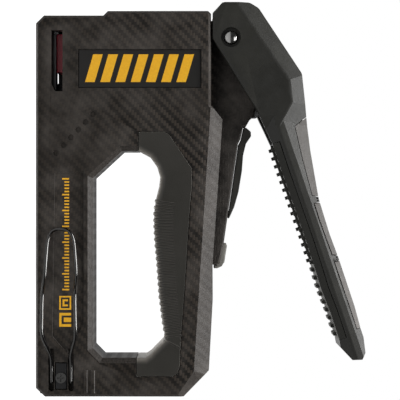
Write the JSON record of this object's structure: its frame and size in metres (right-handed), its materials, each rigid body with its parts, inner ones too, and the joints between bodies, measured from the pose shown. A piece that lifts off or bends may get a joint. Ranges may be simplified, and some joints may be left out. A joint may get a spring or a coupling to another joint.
{
  "type": "staple gun",
  "caption": "Hand-operated staple gun: finger-hole body of woven-look composite, squeeze handle hinged at the nose, rear-loading magazine and wire belt hook.",
  "frame": {"origin": "middle of the flat magazine base, on the underside of the magazine channel", "axes": "-X to the nose where the staple leaves, +X to the rear, +Z from the magazine base to the squeeze handle, Y through the thickness, belt hook on the -Y side"},
  "size_m": [0.1934, 0.0411, 0.1616],
  "materials": {
    "composite": "fibre-filled moulded composite with a twill weave pattern, satin",
    "grip_rubber": "soft rubber, fine ribs, matte",
    "handle_plastic": "moulded black plastic, satin",
    "pad_rubber": "soft rubber pads, matte",
    "finger_rubber": "ribbed rubber strip, matte",
    "stop_rubber": "grey rubber stop, matte",
    "bumper_rubber": "hard rubber, matte",
    "nose_steel": "ground spring steel",
    "rail_steel": "zinc plated sheet steel",
    "mechanism_steel": "stamped steel, satin",
    "spring_steel": "drawn spring wire",
    "staple_wire": "bright flat staple wire",
    "pin_steel": "turned steel pin, satin",
    "screw_steel": "blackened screw, satin",
    "hook_wire": "black coated spring wire, semi gloss",
    "black_steel": "blackened steel, satin",
    "badge_print": "amber print on a dark inlaid plate, satin",
    "red_plastic": "dark red moulded plastic"
  },
  "bodies": {
    "frame": {"shell_left": "composite", "shell_right": "composite", "grip_insert": "grip_rubber", "nose_plate": "nose_steel", "magazine_channel": "black_steel", "shell_screw_1": "black_steel", "shell_screw_2": "black_steel", "shell_screw_3": "black_steel", "shell_screw_4": "black_steel", "shell_screw_5": "black_steel", "belt_hook": "hook_wire", "belt_hook_clamp": "black_steel", "belt_hook_screw": "screw_steel", "spring_seat": "black_steel", "plunger_bumper": "bumper_rubber", "rocker_pin": "mechanism_steel", "return_spring": "spring_steel", "handle_lock_pin": "mechanism_steel", "handle_stop": "stop_rubber", "pivot_pin": "pin_steel", "power_spring": "spring_steel", "badge_plate": "badge_print"},
    "handle": {"handle_cover": "handle_plastic", "palm_pad_1": "pad_rubber", "palm_pad_2": "pad_rubber", "palm_pad_3": "pad_rubber", "finger_strip": "finger_rubber", "handle_core": "mechanism_steel", "cam_plate": "mechanism_steel"},
    "rocker": {"rocker": "mechanism_steel"},
    "striker": {"plunger": "black_steel", "driver_blade": "nose_steel"},
    "magazine": {"magazine_rail": "rail_steel", "magazine_pull": "handle_plastic", "pusher_rod": "rail_steel", "pusher_spring": "spring_steel", "staple_strip": "staple_wire"},
    "follower": {"staple_follower": "red_plastic"},
    "lock": {"handle_lock": "handle_plastic"}
  },
  "joints": [
    {"name": "handle_squeeze", "type": "hinge", "parent": "frame", "child": "handle", "pos_m": [-0.0824, 0, 0.0956], "axis": [0, 1, 0], "range_deg": [0, 20], "stiffness_Nm_per_rad": 1.2, "springref_deg": -28.65},
    {"name": "rocker_turn", "type": "hinge", "parent": "frame", "child": "rocker", "pos_m": [-0.064, 0, 0.066], "axis": [0, 1, 0], "range_deg": [0, 38.2]},
    {"name": "striker_lift", "type": "slide", "parent": "frame", "child": "striker", "axis": [0, 0, 1], "range_m": [0, 0.01], "deforming": ["power_spring"]},
    {"name": "magazine_slide", "type": "slide", "parent": "frame", "child": "magazine", "axis": [1, 0, 0], "range_m": [0, 0.12]},
    {"name": "follower_slide", "type": "slide", "parent": "magazine", "child": "follower", "axis": [1, 0, 0], "range_m": [0, 0.09], "stiffness_N_per_m": 8, "springref_m": -0.06, "deforming": ["pusher_spring"]},
    {"name": "lock_turn", "type": "hinge", "parent": "frame", "child": "lock", "pos_m": [0.004, 0, 0.092], "axis": [0, 1, 0], "range_deg": [0, 6]}
  ],
  "couplings": [
    {"joint": "rocker_turn", "follows": "handle_squeeze", "ratio": 1.9},
    {"joint": "striker_lift", "follows": "handle_squeeze", "m_per_rad": 0.0285}
  ]
}
